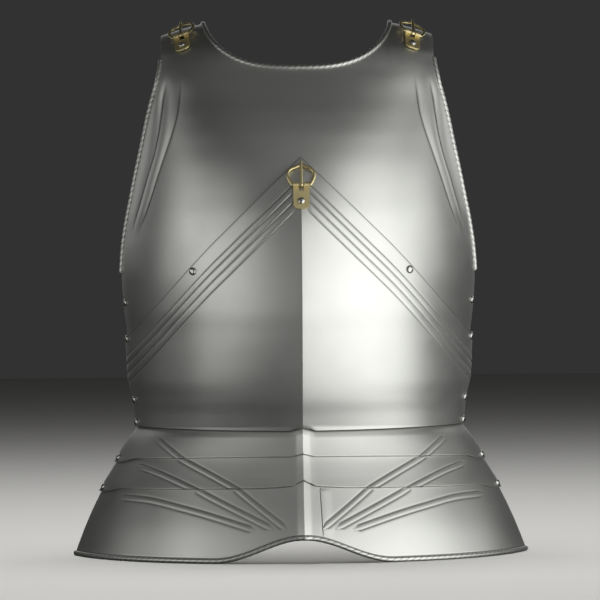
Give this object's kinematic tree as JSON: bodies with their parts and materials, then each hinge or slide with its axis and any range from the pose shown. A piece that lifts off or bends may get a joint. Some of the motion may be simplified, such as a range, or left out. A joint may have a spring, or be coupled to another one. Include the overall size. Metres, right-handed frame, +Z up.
{
  "type": "steel cuirass breastplate with plackart and fauld",
  "caption": "Polished steel breastplate with roped rims, pointed fluted plackart, hinged ribbed fauld lames and brass strap buckles.",
  "frame": {"origin": "under the middle of the part's box, on the surface the hem stands on", "axes": "+Z up the body, -Y out of the chest (the front), +X towards the right of the front view"},
  "size_m": [0.463, 0.175, 0.54],
  "materials": {
    "plate_steel": "satin polished",
    "rivet_steel": "domed and polished",
    "buckle_brass": "dull polished"
  },
  "bodies": {
    "cuirass": {"chest_plate": "plate_steel", "plackart": "plate_steel", "waist_lame": "plate_steel", "band_rivet_left": "rivet_steel", "band_rivet_right": "rivet_steel", "chest_rivet_left": "rivet_steel", "chest_rivet_right": "rivet_steel", "plackart_upper_rivet_left": "rivet_steel", "plackart_upper_rivet_right": "rivet_steel", "plackart_lower_rivet_left": "rivet_steel", "plackart_lower_rivet_right": "rivet_steel", "waist_rivet_left": "rivet_steel", "waist_rivet_right": "rivet_steel", "middle_rivet_left": "rivet_steel", "middle_rivet_right": "rivet_steel", "centre_buckle_plate": "buckle_brass", "centre_buckle_rivet": "rivet_steel", "left_shoulder_buckle_plate": "buckle_brass", "left_shoulder_buckle_rivet": "rivet_steel", "right_shoulder_buckle_plate": "buckle_brass", "right_shoulder_buckle_rivet": "rivet_steel"},
    "middle": {"middle_lame": "plate_steel", "hem_rivet_left": "rivet_steel", "hem_rivet_right": "rivet_steel"},
    "hem": {"hem_lame": "plate_steel"},
    "centre_frame": {"centre_buckle_frame": "buckle_brass"},
    "centre_tongue": {"centre_buckle_tongue": "buckle_brass"},
    "left_shoulder_frame": {"left_shoulder_buckle_frame": "buckle_brass"},
    "left_shoulder_tongue": {"left_shoulder_buckle_tongue": "buckle_brass"},
    "right_shoulder_frame": {"right_shoulder_buckle_frame": "buckle_brass"},
    "right_shoulder_tongue": {"right_shoulder_buckle_tongue": "buckle_brass"}
  },
  "joints": [
    {"name": "middle_lame_pivot", "type": "hinge", "parent": "cuirass", "child": "middle", "pos_m": [0, 0.0769, 0.0983], "axis": [1, 0, 0], "range_deg": [0, 1.8]},
    {"name": "hem_lame_pivot", "type": "hinge", "parent": "middle", "child": "hem", "pos_m": [0, 0.0761, 0.0688], "axis": [1, 0, 0], "range_deg": [0, 3.2]},
    {"name": "centre_frame_hinge", "type": "hinge", "parent": "cuirass", "child": "centre_frame", "pos_m": [0, -0.07689, 0.36874], "axis": [1, 0, 0], "range_deg": [0, 110]},
    {"name": "centre_tongue_hinge", "type": "hinge", "parent": "centre_frame", "child": "centre_tongue", "pos_m": [0, -0.07689, 0.36874], "axis": [1, 0, 0], "range_deg": [0, 55]},
    {"name": "left_shoulder_frame_hinge", "type": "hinge", "parent": "cuirass", "child": "left_shoulder_frame", "pos_m": [-0.11637, 0.04147, 0.5235], "axis": [0.931, -0.203, 0.3033], "range_deg": [0, 110]},
    {"name": "left_shoulder_tongue_hinge", "type": "hinge", "parent": "left_shoulder_frame", "child": "left_shoulder_tongue", "pos_m": [-0.11637, 0.04147, 0.5235], "axis": [0.931, -0.203, 0.3033], "range_deg": [0, 55]},
    {"name": "right_shoulder_frame_hinge", "type": "hinge", "parent": "cuirass", "child": "right_shoulder_frame", "pos_m": [0.11637, 0.04147, 0.5235], "axis": [0.931, 0.203, -0.3033], "range_deg": [0, 110]},
    {"name": "right_shoulder_tongue_hinge", "type": "hinge", "parent": "right_shoulder_frame", "child": "right_shoulder_tongue", "pos_m": [0.11637, 0.04147, 0.5235], "axis": [0.931, 0.203, -0.3033], "range_deg": [0, 55]}
  ]
}
